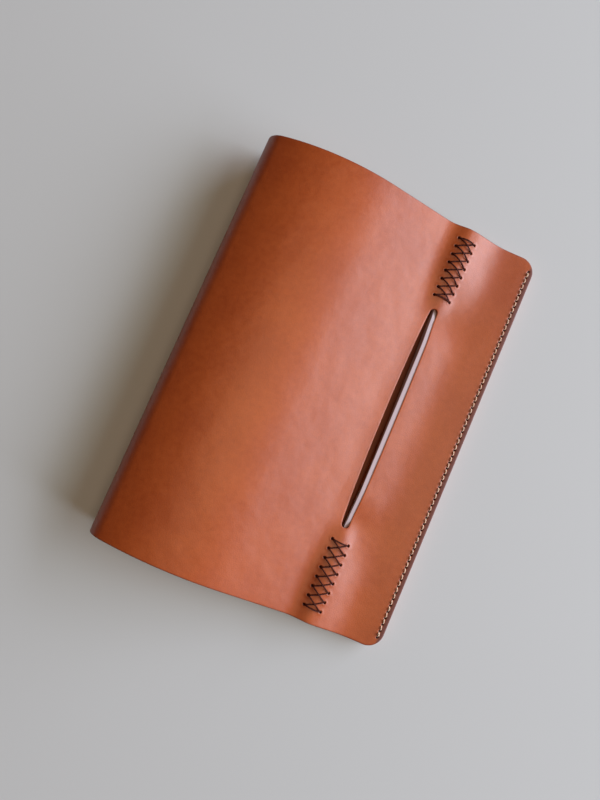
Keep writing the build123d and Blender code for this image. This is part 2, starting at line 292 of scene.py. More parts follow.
class Profile:
    """The outer face in cross-section: straight spans and arcs, each met by its own length."""

    def __init__(self, shape):
        self.spans = []
        self.total = 0.0
        down, left, up = -pi / 2, pi, pi / 2
        back = (SPINE_X + shape.back_bend, shape.back_bend)
        front = (SPINE_X + shape.front_bend, shape.back_bend)
        crown_start = pi - shape.front_bend_angle
        crown_end = up - shape.slope_angle
        crown = polar(front, shape.front_bend - shape.crown_radius, crown_start)
        top = polar(crown, shape.crown_radius, crown_end)
        flare_drop = shape.flare_radius * (1 - cos(shape.slope_angle))
        slope = (top[1] - shape.fore_height - flare_drop) / sin(shape.slope_angle)
        slope_foot = polar(top, slope, -shape.slope_angle)
        flare = polar(slope_foot, shape.flare_radius, up - shape.slope_angle)
        self.straight((FORE_X, 0), left, FORE_X - back[0])
        self.arc(back, shape.back_bend, down + tau, left)
        self.leftmost = self.total
        self.arc(front, shape.front_bend, left, crown_start)
        self.arc(crown, shape.crown_radius, crown_start, crown_end)
        self.straight(top, -shape.slope_angle, slope)
        self.arc(flare, shape.flare_radius, down - shape.slope_angle, down)
        self.straight((flare[0], shape.fore_height), 0, FORE_X - flare[0])

    def straight(self, start, heading, size):
        """Add a straight span."""
        begin = self.total
        self.total += size
        self.spans.append((self.total, lambda s: (*polar(start, s - begin, heading), heading)))

    def arc(self, centre, radius, first, last):
        """Add an arc between two angles about its centre."""
        begin = self.total
        sense = 1 if last > first else -1

        def at(s):
            angle = first + sense * (s - begin) / radius
            return (*polar(centre, radius, angle), angle + sense * pi / 2)

        self.total += radius * abs(last - first)
        self.spans.append((self.total, at))

    def at(self, s):
        """The point at this length, as x and z, and the heading there."""
        return next((at for end, at in self.spans if s <= end), self.spans[-1][1])(s)

    def place(self, s, y, h):
        """Where the place (s, y, h) of a flat leather lies once it is rolled."""
        x, z, heading = self.at(s)
        return Vector((x - h * sin(heading), y, z + h * cos(heading)))

    def length_at(self, x):
        """The length at which the front's outer face reaches x."""
        low, high = self.leftmost, self.total
        while high - low > HAIR:
            middle = (low + high) / 2
            if self.at(middle)[0] < x:
                low = middle
            else:
                high = middle
        return low


class Layout:
    """Where the ridge, the slit, the laces and the seams lie on the flat leathers."""

    def __init__(self, scene):
        self.shape = scene.cover_shape
        self.threads = scene.cover_threads
        self.profile = Profile(self.shape)
        self.half_length = (HEAD_Y - TAIL_Y) / 2
        upper, lower = (self.middle(node) for node in ("upper_cross_stitch", "lower_cross_stitch"))
        self.crest_skew = (lower.x - upper.x) / (upper.y - lower.y)
        self.crest_x = upper.x + self.crest_skew * upper.y - self.threads.lace_shift
        self.laces = [
            self.lace_rows(upper.y, self.threads.upper_lace_pitch, 0, 0),
            self.lace_rows(
                lower.y,
                self.threads.lower_lace_pitch,
                self.threads.lower_lace_shift,
                self.threads.lower_lace_lean,
            ),
        ]
        self.crest_s = self.profile.length_at(self.crest_x)
        self.slit_head = self.shape.slit_offset + self.shape.slit_length / 2
        self.slit_tail = self.shape.slit_offset - self.shape.slit_length / 2
        low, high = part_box("front_seam_thread")
        self.stitch_count = round((high.y - low.y) / self.threads.stitch_pitch)
        self.seam_end = self.stitch_count * self.threads.stitch_pitch / 2

    def middle(self, node):
        """The middle of a CAD node's box."""
        low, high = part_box(node)
        return (low + high) / 2

    def lace_rows(self, middle_y, pitch, shift, lean):
        """The holes of one group, from the head: those on the spine side, then the others."""
        rows = []
        last = self.threads.lace_holes - 1
        for side in (-1, 1):
            row = []
            for k in range(last + 1):
                y = middle_y + (last / 2 - k) * pitch - side * self.threads.lace_stagger / 2
                across = self.threads.lace_shift + side * self.threads.lace_row_offset
                across += shift + lean * (y - middle_y)
                x = self.crest_x - self.crest_skew * y + across
                row.append((self.profile.length_at(x), y))
            rows.append(row)
        return rows

    def beside_slit(self, y):
        """How far a place lies from the slit's nearer end, and less than 0 past it."""
        return min(self.slit_head - y, y - self.slit_tail)

    def from_crest(self, s, y):
        """How far a place lies from the crest, towards the fore edge."""
        return s - self.crest_s + self.crest_skew * y

    def ridge(self, s, y):
        """Height of the ridge above the plain sheet."""
        shape = self.shape
        from_crest = self.from_crest(s, y)
        wide = shape.ridge_fore_width if from_crest > 0 else shape.ridge_spine_width
        across = abs(from_crest) / wide
        if across >= 1:
            return 0.0
        beside_slit = self.beside_slit(y)
        left = 1 - smooth((beside_slit + shape.ridge_lead) / shape.ridge_fade)
        height = shape.ridge_rest + left * (shape.ridge_height - shape.ridge_rest)
        bell = cos(pi / 2 * across) ** RIDGE_BELL
        lip = shape.lip_rise * smooth(beside_slit / shape.lip_fade)
        lip *= bell if from_crest > 0 else smooth(1 + from_crest / LIP_STEP)
        from_pucker = hypot((beside_slit + PUCKER_PLACE) / PUCKER_LENGTH, from_crest / PUCKER_WIDTH)
        pucker = shape.pucker * exp(-from_pucker * from_pucker)
        return height * bell + lip + pucker

    def skive(self, s, y):
        """How much thinner the leather is pared on its flesh side beside the fore lip."""
        past_lip = s - self.slit_lip(y, 1)
        if past_lip < SKIVE_START or past_lip > SKIVE_REACH:
            return 0.0
        along = smooth(self.beside_slit(y) / SKIVE_REACH)
        return SKIVE * along * (1 - smooth(past_lip / SKIVE_REACH))

    def slit_lip(self, y, side):
        """Where a lip of the slit lies at y: side is -1 towards the spine and 1 away from it."""
        bow = self.shape.slit_bow if side < 0 else self.shape.slit_fore_bow
        share = 2 * (y - self.shape.slit_offset) / self.shape.slit_length
        across = self.shape.slit_width / 2 + bow * max(0.0, 1 - share * share)
        return self.crest_s - self.crest_skew * y + self.shape.slit_shift + side * across


# ---- Flat leathers ----
def evenly(first, last, step):
    """Values from first up to, but not at, last, evenly spaced by at most this step."""
    count = max(1, ceil(abs(last - first) / step))
    return [first + (last - first) * k / count for k in range(count)]


def graded(*stops):
    """Values along a line: (start, step) for each stretch, and then the end."""
    values = []
    for (first, step), following in zip(stops, stops[1:]):
        values += evenly(first, following[0], step)
    return values + [stops[-1][0]]


class Rim:
    """A line of points along an edge, each with the direction that leads off the leather."""

    def __init__(self):
        self.places = []
        self.off = []

    def add(self, places, direction):
        """Add points that share one direction."""
        self.places += places
        self.off += [direction] * len(places)

    def inside(self, depth):
        """The same line, this far inside the edge."""
        return [(p[0] - depth * n[0], p[1] - depth * n[1]) for p, n in zip(self.places, self.off)]


def oval_rim(centre, wide, tall, lean, count):
    """The rim of an oval hole that leans by an angle."""
    rim = Rim()
    for k in range(count):
        across, along = polar((0, 0), 1, tau * k / count)
        turned = (
            wide * across * cos(lean) - tall * along * sin(lean),
            wide * across * sin(lean) + tall * along * cos(lean),
        )
        inwards = across * cos(lean) - along * sin(lean), across * sin(lean) + along * cos(lean)
        place = (centre[0] + turned[0], centre[1] + turned[1])
        rim.add([place], (-inwards[0], -inwards[1]))
    return rim


class Panel:
    """The outline of a flat leather, from its near side to its far side.

    The corners of a side are rounded by its radius. A side without a radius is left
    open, because the sheet goes on there.
    """

    def __init__(self, near, far, half_length, near_radius, far_radius):
        self.near, self.far, self.half_length = near, far, half_length
        self.near_radius, self.far_radius = near_radius, far_radius

    def depth(self, s, y):
        """How far a place lies inside the outline."""
        found = self.half_length - abs(y)
        for radius, inner in ((self.near_radius, s - self.near), (self.far_radius, self.far - s)):
            if not radius:
                continue
            if inner < radius and self.half_length - abs(y) < radius:
                corner = hypot(radius - inner, radius - self.half_length + abs(y))
                found = min(found, radius - corner)
            else:
                found = min(found, inner)
        return found

    def rim(self, lengths, heights):
        """The outline, with its points at these lengths and heights."""
        rim = Rim()
        low = self.near + self.near_radius
        high = self.far - self.far_radius
        along = [low, *[s for s in lengths if low < s < high], high]
        rim.add([(s, -self.half_length) for s in along], (0, -1))
        self.end(rim, self.far, self.far_radius, heights, 1)
        rim.add([(s, self.half_length) for s in along[::-1]], (0, 1))
        self.end(rim, self.near, self.near_radius, heights, -1)
        return rim

    def end(self, rim, s, radius, heights, sense):
        """Add the near or the far side to a rim, with its two corners."""
        if not radius:
            return
        limit = self.half_length - radius
        for turn_start, before in ((-pi / 2, True), (0, False)):
            if not before:
                across = [-limit, *[y for y in heights if abs(y) < limit], limit]
                rim.add([(s, sense * y) for y in across], (sense, 0))
            centre = (s - sense * radius, -sense * limit if before else sense * limit)
            for angle in evenly(turn_start, turn_start + pi / 2, CORNER_STEP)[1:]:
                direction = (sense * cos(angle), sense * sin(angle))
                rim.add([polar(centre, sense * radius, angle)], direction)


class FlatLeather:
    """One leather as it is cut: the points of its pattern and how each is worked."""

    def __init__(self, thickness):
        self.thickness = thickness
        self.places = []
        self.work = []
        self.cut_of = []
        self.cut_edges = []
        self.cuts = 0

    def add(self, places, face_sunk=0, flesh_sunk=0, wear=0, cut=0):
        """Add points, each sunk this far below the face and the flesh side."""
        self.places += places
        self.work += [(face_sunk, flesh_sunk, wear)] * len(places)
        self.cut_of += [cut] * len(places)

    def round_edge(self, rim, radius, cut=False, burn=1.0):
        """Round and burnish the edge along a rim. A cut is the closed rim of an opening."""
        if cut:
            self.cuts += 1
            first, count = len(self.places), len(rim.places)
            self.cut_edges += [(first + k, first + (k + 1) % count) for k in range(count)]
        for angle, wear in zip(EDGE_ANGLES, EDGE_WEAR):
            sunk = radius * (1 - sin(radians(angle)))
            ring = rim.inside(radius * (1 - cos(radians(angle))))
            self.add(ring, sunk, sunk, burn * wear, self.cuts if cut and not angle else 0)
        self.add(rim.inside(WEAR_REACH))

    def press(self, centre, wide, tall, lean, depth):
        """Press an oval stitch hole into the face."""
        # The hole's dark bottom and darker rings are painted shade.
        self.add([centre], depth, 0, PIT_SHADE)
        for share, sunk, wear in PRICK_RINGS:
            rim = oval_rim(centre, wide * share, tall * share, lean, PRICK_POINTS)
            self.add(rim.places, depth * sunk, 0, wear)

    def fill(self, lengths, heights, free):
        """Add a grid of points wherever free says that there is room."""
        self.add([(s, y) for s in lengths for y in heights if free(s, y)])

    def mesh(self, name, face, flesh, open_sides=(), tone=lambda s, y: 0.0):
        """The closed mesh of the flat leather, with the heights and the tone of its sides.

        The faces of an open side stay flat, so that the shading runs on into the next piece.
        """
        points, _, triangles, sources, _, _ = delaunay_2d_cdt(
            [Vector(p) for p in self.places], self.cut_edges, [], 0, HAIR
        )
        source = [found[0] for found in sources]
        cut_of = [self.cut_of[k] for k in source]
        kept = [t for t in triangles if not (cut_of[t[0]] and len({cut_of[k] for k in t}) == 1)]
        count = len(points)
        top, bottom = [], []
        for (s, y), k in zip(points, source):
            face_sunk, flesh_sunk, _ = self.work[k]
            top.append((s, y, face(s, y) - face_sunk))
            bottom.append((s, y, flesh(s, y) - self.thickness + flesh_sunk))
        sides = {(t[k], t[(k + 1) % 3]) for t in kept for k in range(3)}
        walls = [(a + count, b + count, b, a) for a, b in sides if (b, a) not in sides]
        below = [tuple(k + count for k in reversed(t)) for t in kept]
        made = bpy.data.meshes.new(name)
        made.from_pydata(top + bottom, [], [tuple(t) for t in kept] + below + sorted(walls))
        made.shade_smooth()
        for face_of_wall in made.polygons[2 * len(kept):]:
            if all(points[k % count][0] in open_sides for k in face_of_wall.vertices):
                face_of_wall.use_smooth = False
        wear = made.attributes.new("wear", "FLOAT", "POINT")
        # The wear attribute carries the burnish of edges and holes, and the tone, which paints
        # shade on the spine fold.
        wear_and_shade = [max(self.work[k][2], tone(*place)) for place, k in zip(points, source)]
        wear.data.foreach_set("value", wear_and_shade * 2)
        side = made.attributes.new("flesh", "FLOAT", "POINT")
        side.data.foreach_set("value", [0.0] * count + [1.0] * count)
        return made


# ---- Node trees ----
class Wire:
    """A node's output. Arithmetic on it adds Math nodes."""

    def __init__(self, graph, output):
        self.graph = graph
        self.output = output

    def __add__(self, other):
        return self.graph.maths("ADD", self, other)

    def __sub__(self, other):
        return self.graph.maths("SUBTRACT", self, other)

    def __mul__(self, other):
        return self.graph.maths("MULTIPLY", self, other)

    def __truediv__(self, other):
        return self.graph.maths("DIVIDE", self, other)

    def __rsub__(self, other):
        return self.graph.maths("SUBTRACT", other, self)

    __radd__ = __add__
    __rmul__ = __mul__


class Graph:
    """A node tree that is filled in by calls."""

    def __init__(self, tree):
        self.tree = tree

    def feed(self, socket, value):
        """Link a wire to a socket, or set the socket's own value."""
        if isinstance(value, Wire):
            self.tree.links.new(value.output, socket)
        else:
            socket.default_value = value

    def node(self, kind, settings=None, sockets=None, output=0):
        """Add a node: its settings first, then the values or links of its sockets."""
        made = self.tree.nodes.new(kind)
        for setting, value in (settings or {}).items():
            setattr(made, setting, value)
        for socket, value in (sockets or {}).items():
            self.feed(made.inputs[socket], value)
        return Wire(self, made.outputs[output])

    def maths(self, operation, first, second):
        """Add a Math node."""
        return self.node("ShaderNodeMath", {"operation": operation}, {0: first, 1: second})

    def vectors(self, operation, first, second):
        """Add a Vector Math node."""
        return self.node("ShaderNodeVectorMath", {"operation": operation}, {0: first, 1: second})

    def scaled(self, place, factor):
        """A vector, scaled."""
        sockets = {0: place, "Scale": factor}
        return self.node("ShaderNodeVectorMath", {"operation": "SCALE"}, sockets)


class Recipe(Graph):
    """A Geometry Nodes tree with named inputs. It ends in real meshes with one material."""

    def __init__(self, name, inputs):
        super().__init__(bpy.data.node_groups.new(name, "GeometryNodeTree"))
        shape = "NodeSocketGeometry"
        sockets = {"Geometry": shape, **inputs, "Material": "NodeSocketMaterial"}
        for socket, kind in sockets.items():
            self.tree.interface.new_socket(socket, in_out="INPUT", socket_type=kind)
        self.tree.interface.new_socket("Geometry", in_out="OUTPUT", socket_type=shape)
        self.source = self.tree.nodes.new("NodeGroupInput")

    def given(self, name):
        """One of the tree's inputs."""
        return Wire(self, self.source.outputs[name])

    def end(self, geometry):
        """Close the tree over the geometry that it has made."""
        real = self.node("GeometryNodeRealizeInstances", {}, {"Geometry": geometry})
        dressed = self.node(
            "GeometryNodeSetMaterial", {}, {"Geometry": real, "Material": self.given("Material")}
        )
        sink = self.tree.nodes.new("NodeGroupOutput")
        self.tree.links.new(dressed.output, sink.inputs["Geometry"])

    def make(self, name, carrier, values):
        """Run the tree on a mesh or a curve, and return a plain mesh object."""
        carrying = bpy.data.objects.new(name + "_carrier", carrier)
        bpy.context.scene.collection.objects.link(carrying)
        modifier = carrying.modifiers.new(name, "NODES")
        modifier.node_group = self.tree
        for item in self.tree.interface.items_tree:
            if item.in_out == "INPUT" and item.name in values:
                modifier[item.identifier] = values[item.name]
        depsgraph = bpy.context.evaluated_depsgraph_get()
        mesh = bpy.data.meshes.new_from_object(
            carrying.evaluated_get(depsgraph), preserve_all_data_layers=True, depsgraph=depsgraph
        )
        bpy.data.objects.remove(carrying)
        if not mesh.polygons:
            raise RuntimeError(f"{name} came out empty")
        mesh.name = name
        return link_piece(name, mesh)


def numbers(*names):
    """The inputs of a tree that are plain numbers."""
    return dict.fromkeys(names, "NodeSocketFloat")


def link_piece(name, mesh):
    """Put a mesh into the scene as a piece of its own."""
    piece = bpy.data.objects.new(name, mesh)
    bpy.context.scene.collection.objects.link(piece)
    return piece


def rolling_recipe():
    """Rolls a flat leather along the cross-section, which is a curve in the XZ plane."""
    recipe = Recipe("Roll leather", {"Cross-section": "NodeSocketObject"})
    place = recipe.node("GeometryNodeInputPosition")
    flat = recipe.node(
        "GeometryNodeStoreNamedAttribute",
        {"data_type": "FLOAT_VECTOR", "domain": "POINT"},
        {"Geometry": recipe.given("Geometry"), "Name": "flat", "Value": place},
    )
    parts = [recipe.node("ShaderNodeSeparateXYZ", {}, {0: place}, k) for k in range(3)]
    line = recipe.node(
        "GeometryNodeObjectInfo", {}, {"Object": recipe.given("Cross-section")}, "Geometry"
    )
    on_line = {"Curves": line, "Length": parts[0]}
    foot, heading = (
        recipe.node("GeometryNodeSampleCurve", {"mode": "LENGTH"}, on_line, found)
        for found in ("Position", "Tangent")
    )
    rise = recipe.scaled(recipe.vectors("CROSS_PRODUCT", heading, (0, 1, 0)), parts[2])
    across = recipe.node("ShaderNodeCombineXYZ", {}, {"Y": parts[1]})
    moved = recipe.vectors("ADD", recipe.vectors("ADD", foot, rise), across)
    recipe.end(recipe.node("GeometryNodeSetPosition", {}, {"Geometry": flat, "Position": moved}))
    return recipe


def twisted(recipe, line, ply_sides):
    """Plies wound about each line of a curve, as closed tubes."""
    half = recipe.given("Thread radius") * 0.5
    run = recipe.node("GeometryNodeSplineParameter", output="Length")
    turns = run / recipe.given("Twist")
    wound = recipe.node("GeometryNodeSetCurveTilt", {}, {"Curve": line, "Tilt": turns * tau})
    centres = recipe.node("GeometryNodeMeshCircle", {}, {"Vertices": PLIES, "Radius": half})
    ply = recipe.node(
        "GeometryNodeCurvePrimitiveCircle", {}, {"Resolution": ply_sides, "Radius": half}
    )
    placed = recipe.node("GeometryNodeInstanceOnPoints", {}, {"Points": centres, "Instance": ply})
    section = recipe.node("GeometryNodeRealizeInstances", {}, {"Geometry": placed})
    tube = recipe.node(
        "GeometryNodeCurveToMesh", {}, {"Curve": wound, "Profile Curve": section, "Fill Caps": True}
    )
    return recipe.node("GeometryNodeSetShadeSmooth", {}, {"Geometry": tube, "Shade Smooth": True})


def lacing_recipe():
    """Lays a twisted thread along every line of a curve."""
    recipe = Recipe("Lace", numbers("Thread radius", "Twist", "Step"))
    even = recipe.node(
        "GeometryNodeResampleCurve",
        {"mode": "LENGTH"},
        {"Curve": recipe.given("Geometry"), "Length": recipe.given("Step")},
    )
    recipe.end(twisted(recipe, even, LACE_PLY_SIDES))
    return recipe


def seam_recipe():
    """Sews a row of slanted stitches on a face, and the same row on the face below it.

    The stitches at the two ends are thicker, and each strays a little from the slant.
    """
    stitch_sizes = numbers("Pitch", "Stitch length", "Bulge", "Dip", "Slant", "End size")
    row_sizes = numbers("Thread radius", "Twist", "Seam", "Upper height", "Lower height")
    whole = "NodeSocketInt"
    recipe = Recipe("Seam", {"Count": whole, **stitch_sizes, **row_sizes, "Seed": whole})
    half = recipe.given("Stitch length") * 0.5
    dip = recipe.given("Dip") * -1
    ends = [
        recipe.node("ShaderNodeCombineXYZ", {}, {"Y": y, "Z": z})
        for y, z in ((half * -1, dip), (0.0, recipe.given("Bulge")), (half, dip))
    ]
    bow = recipe.node(
        "GeometryNodeCurveQuadraticBezier",
        {},
        {"Resolution": STITCH_BENDS, "Start": ends[0], "Middle": ends[1], "End": ends[2]},
    )
    stitch = twisted(recipe, bow, SEAM_PLY_SIDES)
    index = recipe.node("GeometryNodeInputIndex")
    last = recipe.given("Count") - 1
    inner = recipe.maths("MINIMUM", index, last - index)
    at_end = recipe.maths("LESS_THAN", inner, 0.5)
    size = at_end * (recipe.given("End size") - 1) + 1
    first_y = last * recipe.given("Pitch") * -0.5
    step = recipe.node("ShaderNodeCombineXYZ", {}, {"Y": recipe.given("Pitch")})
    rows = []
    for k, height in enumerate(("Upper height", "Lower height")):
        start = recipe.node(
            "ShaderNodeCombineXYZ",
            {},
            {"X": recipe.given("Seam"), "Y": first_y, "Z": recipe.given(height)},
        )
        line = recipe.node(
            "GeometryNodeMeshLine",
            {"mode": "OFFSET"},
            {"Count": recipe.given("Count"), "Start Location": start, "Offset": step},
        )
        stray = recipe.node(
            "FunctionNodeRandomValue",
            {"data_type": "FLOAT"},
            {2: -STITCH_STRAY, 3: STITCH_STRAY, "Seed": recipe.given("Seed") + k},
            1,
        )
        lean = recipe.given("Slant") + stray
        way = recipe.node("ShaderNodeCombineXYZ", {}, {"Y": k * pi, "Z": lean})
        scale = recipe.node("ShaderNodeCombineXYZ", {}, {"X": size, "Y": 1.0, "Z": size})
        rows.append(
            recipe.node(
                "GeometryNodeInstanceOnPoints",
                {},
                {"Points": line, "Instance": stitch, "Rotation": way, "Scale": scale},
            )
        )
    both = recipe.node("GeometryNodeJoinGeometry")
    for row in rows:
        recipe.tree.links.new(row.output, both.output.node.inputs[0])
    recipe.end(both)
    return recipe


# ---- Finishes ----
class Finish(Graph):
    """A material around one Principled shader."""

    def __init__(self, name, constants):
        self.material = bpy.data.materials.new(name)
        self.material.use_nodes = True
        super().__init__(self.material.node_tree)
        self.shader = self.tree.nodes["Principled BSDF"]
        for socket, value in constants.items():
            self.shader.inputs[socket].default_value = value

    def wear(self, tint, roughness, normal):
        """Set what changes over the surface."""
        self.feed(self.shader.inputs["Base Color"], tint)
        self.feed(self.shader.inputs["Roughness"], roughness)
        self.feed(self.shader.inputs["Normal"], normal)
        return self.material

    def attribute(self, name, output):
        """An attribute of the piece."""
        return self.node("ShaderNodeAttribute", {"attribute_name": name}, {}, output)

    def in_millimetres(self, place):
        """A place in millimetres, so that a texture's scale counts repeats in each."""
        return self.scaled(place, 1 / MM)

    def noise(self, place, scale, detail=2.0, roughness=0.5):
        """Smooth noise from 0 to 1."""
        return self.node(
            "ShaderNodeTexNoise",
            {},
            {"Vector": place, "Scale": scale, "Detail": detail, "Roughness": roughness},
        )

    def cells(self, place, scale):
        """Distance to the nearest border between cells."""
        return self.node(
            "ShaderNodeTexVoronoi",
            {"feature": "DISTANCE_TO_EDGE"},
            {"Vector": place, "Scale": scale, "Randomness": 0.9},
        )

    def band(self, value, low, high):
        """0 below low and 1 above high, with a smooth step between them."""
        return self.node(
            "ShaderNodeMapRange", {"interpolation_type": "SMOOTHSTEP"}, {0: value, 1: low, 2: high}
        )

    def tint(self, share, first, second):
        """A mix of two colours."""
        colours = {
            socket: value if isinstance(value, Wire) else (*value, 1)
            for socket, value in ((6, first), (7, second))
        }
        return self.node("ShaderNodeMix", {"data_type": "RGBA"}, {0: share, **colours}, 2)

    def bump(self, height, depth, below=None):
        """A normal from a height of 0 to 1 that stands for this depth."""
        sockets = {"Strength": 1.0, "Distance": depth, "Height": height}
        if below:
            sockets["Normal"] = below
        return self.node("ShaderNodeBump", {}, sockets)


def shaded(tone, share):
    """A colour, darker or lighter by this share."""
    return [min(1.0, share * c) for c in tone]


def cover_leather(colours):
    """Smooth tanned leather: a fine grain outside, fibres inside and burnished edges, with a darker
    band outside the seams and painted shade on the spine fold and in the pricked holes.
    """
    finish = Finish("Cover leather", {"Specular IOR Level": 0.7})
    flat = finish.in_millimetres(finish.attribute("flat", "Vector"))
    wear_and_shade = finish.attribute("wear", "Fac")
    inside = finish.attribute("flesh", "Fac")
    clouds = finish.noise(flat, scale=0.03, detail=3.0, roughness=0.55)
    mottle = finish.noise(flat, scale=0.35, detail=3.0)
    pores = finish.noise(flat, scale=2.6)
    creases = finish.band(finish.cells(flat, scale=1.15), low=0.0, high=0.16)
    along_fibres = finish.vectors("MULTIPLY", flat, (1.2, 0.5, 1.0))
    fibres = finish.noise(along_fibres, scale=1.6, detail=6.0, roughness=0.65)
    tone = finish.band(clouds * 0.6 + mottle * 0.4, low=0.36, high=0.64)
    grain = finish.tint(tone, colours.tan_deep, colours.tan)
    grain = finish.tint((1 - creases) * 0.12 + pores * 0.08, grain, colours.burnish_and_shade)
    # The wear attribute mixes in the dark burnished tone: real at cut edges, painted shade on the
    # spine fold and round the pricked holes.
    burnt_and_shaded = finish.tint(wear_and_shade * (0.82 + mottle * 0.3), grain, colours.burnish_and_shade)
    # Past a wear of 1: painted shade at the bottom of the pricked holes.
    burnt_and_shaded = finish.tint(wear_and_shade - 1, burnt_and_shaded, colours.pit_shade)
    suede = finish.tint(fibres * 0.6, colours.flesh, shaded(colours.flesh, 0.6))
    suede = finish.tint(wear_and_shade, suede, colours.burnish_and_shade)
    skin = finish.tint(inside, burnt_and_shaded, suede)
    smooth_side = 0.32 + mottle * 0.08 + pores * 0.06 + wear_and_shade * 0.3
    roughness = smooth_side + inside * (1 - wear_and_shade) * 0.4
    waves = finish.bump(finish.noise(flat, scale=0.07), depth=0.35 * MM)
    relief = creases * 0.5 + pores * 0.5 + fibres * inside * 3
    return finish.wear(skin, roughness, finish.bump(relief, depth=0.030 * MM, below=waves))


def flap_leather(name, tone, edge):
    """Leather with a short nap, darker at its cut edges."""
    finish = Finish(name, {"Specular IOR Level": 0.15})
    flat = finish.in_millimetres(finish.attribute("flat", "Vector"))
    wear_and_shade = finish.attribute("wear", "Fac")
    along_nap = finish.vectors("MULTIPLY", flat, (1.3, 0.6, 1.0))
    nap = finish.noise(along_nap, scale=1.5, detail=6.0, roughness=0.65)
    clouds = finish.noise(flat, scale=0.06, detail=3.0)
    skin = finish.tint(nap * 0.3 + clouds * 0.2, tone, shaded(tone, 0.75))
    skin = finish.tint(wear_and_shade * 0.9, skin, edge)
    return finish.wear(skin, 0.66 + nap * 0.2, finish.bump(nap, depth=0.06 * MM))


def waxed_thread(name, tone, shine):
    """Waxed linen thread with fibres along its plies."""
    finish = Finish(name, {"Specular IOR Level": shine})
    place = finish.node("ShaderNodeTexCoord", output="Object")
    along_fibres = finish.vectors("MULTIPLY", finish.in_millimetres(place), (1.0, 0.35, 1.0))
    fibres = finish.noise(along_fibres, scale=9.0, detail=4.0, roughness=0.6)
    skin = finish.tint(fibres, shaded(tone, 0.8), shaded(tone, 1.1))
    return finish.wear(skin, 0.52 + fibres * 0.25, finish.bump(fibres, depth=0.03 * MM))


def table_top(colours):
    """A plain pale table."""
    finish = Finish("Table", {"Specular IOR Level": 0.0})
    place = finish.node("ShaderNodeTexCoord", output="Object")
    cloud = finish.noise(place, scale=3.0)
    skin = finish.tint(cloud * 0.2, colours.table, shaded(colours.table, 0.97))
    return finish.wear(skin, 0.85 + cloud * 0.05, finish.bump(cloud, depth=0.01 * MM))


# ---- Pieces ----
class Dent:
    """How stitches and cuts shape the two sides of a leather."""

    def __init__(self, layout, seam, laced=False):
        self.layout = layout
        self.seam = seam
        self.laced = laced
        rows = sum(layout.laces, []) if laced else []
        self.holes = [hole for row in rows for hole in row]

    def face(self, s, y):
        """Height of the grain side above the plain sheet."""
        layout = self.layout
        from_seam = abs(s - self.seam)
        height = 0.0
        if from_seam < DENT_REACH:
            along = smooth((layout.seam_end + SEAM_ROOM - abs(y)) / GROOVE_FADE)
            height -= GROOVE_DEPTH * along * exp(-((from_seam / GROOVE_WIDTH) ** 2))
        if self.laced:
            height += layout.ridge(s, y)
            if abs(layout.from_crest(s, y)) < LACE_BAND:
                for hole_s, hole_y in self.holes:
                    away = hypot(s - hole_s, y - hole_y)
                    if away < DENT_REACH:
                        ring = (away - RING_RADIUS) / RING_WIDTH
                        height += RING_HEIGHT * exp(-ring * ring)
        return height

    def outside(self, s):
        """How far a place lies from the seam's line towards the fore edge."""
        return (self.seam - s) if self.seam < self.layout.profile.leftmost else (s - self.seam)

    def tone(self, s, y):
        """How much darker the band outside the seam is, and how much painted shade lies on the fold
        at the spine.
        """
        from_fold = abs(s - self.layout.profile.leftmost)
        # Painted shade: the fold at the spine is darkened, most at its leftmost line.
        fold = FOLD_SHADE * (1 - smooth(from_fold / self.layout.shape.back_bend))
        return max(fold, BAND_DARKENING * smooth(self.outside(s) / BAND_EDGE))

    def flesh(self, s, y):
        """Height of the flesh side above the plain sheet's flesh side."""
        return self.layout.ridge(s, y) + self.layout.skive(s, y) if self.laced else 0.0


def seam_holes(layout, leather, seam, lean):
    """Press the pricked holes of a seam into a leather's face."""
    pitch = layout.threads.stitch_pitch
    for k in range(layout.stitch_count + 1):
        y = (k - layout.stitch_count / 2) * pitch
        leather.press((seam, y), PRICK_WIDE, PRICK_TALL, lean, PRICK_DEPTH)


def near_stitch_hole(layout, seam, s, y):
    """Whether a place is too near a pressed hole for a point of its own."""
    pitch = layout.threads.stitch_pitch
    if abs(s - seam) > SEAM_ROOM or abs(y) > layout.seam_end + SEAM_ROOM:
        return False
    share = (y / pitch + layout.stitch_count / 2) % 1
    return min(share, 1 - share) * pitch < PRICK_ROOM


def slit_rim(layout):
    """The rim of the slit: two bowed lips and two round ends."""
    radius = layout.shape.slit_width / 2
    low, high = layout.slit_tail + radius, layout.slit_head - radius
    rim = Rim()
    for centre_y, first, lips in ((high, 0, (high, low)), (low, pi, (low, high))):
        ends = [layout.slit_lip(centre_y, side) for side in (-1, 1)]
        middle, wide = (ends[1] + ends[0]) / 2, (ends[1] - ends[0]) / 2
        for angle in [*evenly(first, first + pi, SLIT_END_STEP), first + pi]:
            place = (middle + wide * cos(angle), centre_y + radius * sin(angle))
            rim.add([place], (-cos(angle), -sin(angle)))
        side = 1 if first else -1
        lip = evenly(*lips, SLIT_LIP_STEP)[1:]
        rim.add([(layout.slit_lip(y, side), y) for y in lip], (-side, 0))
    return rim


def pattern_heights(layout):
    """The rows of points along the spine, closer together around the laces."""
    coarse, fine, past_laces = 1.7 * MM, 0.75 * MM, 12 * MM
    upper, lower = ([y for row in rows for _, y in row] for rows in layout.laces)
    return graded(
        (TAIL_Y + EDGE_MARGIN, fine),
        (max(lower) + past_laces, coarse),
        (min(upper) - past_laces, fine),
        (HEAD_Y - EDGE_MARGIN,),
    )


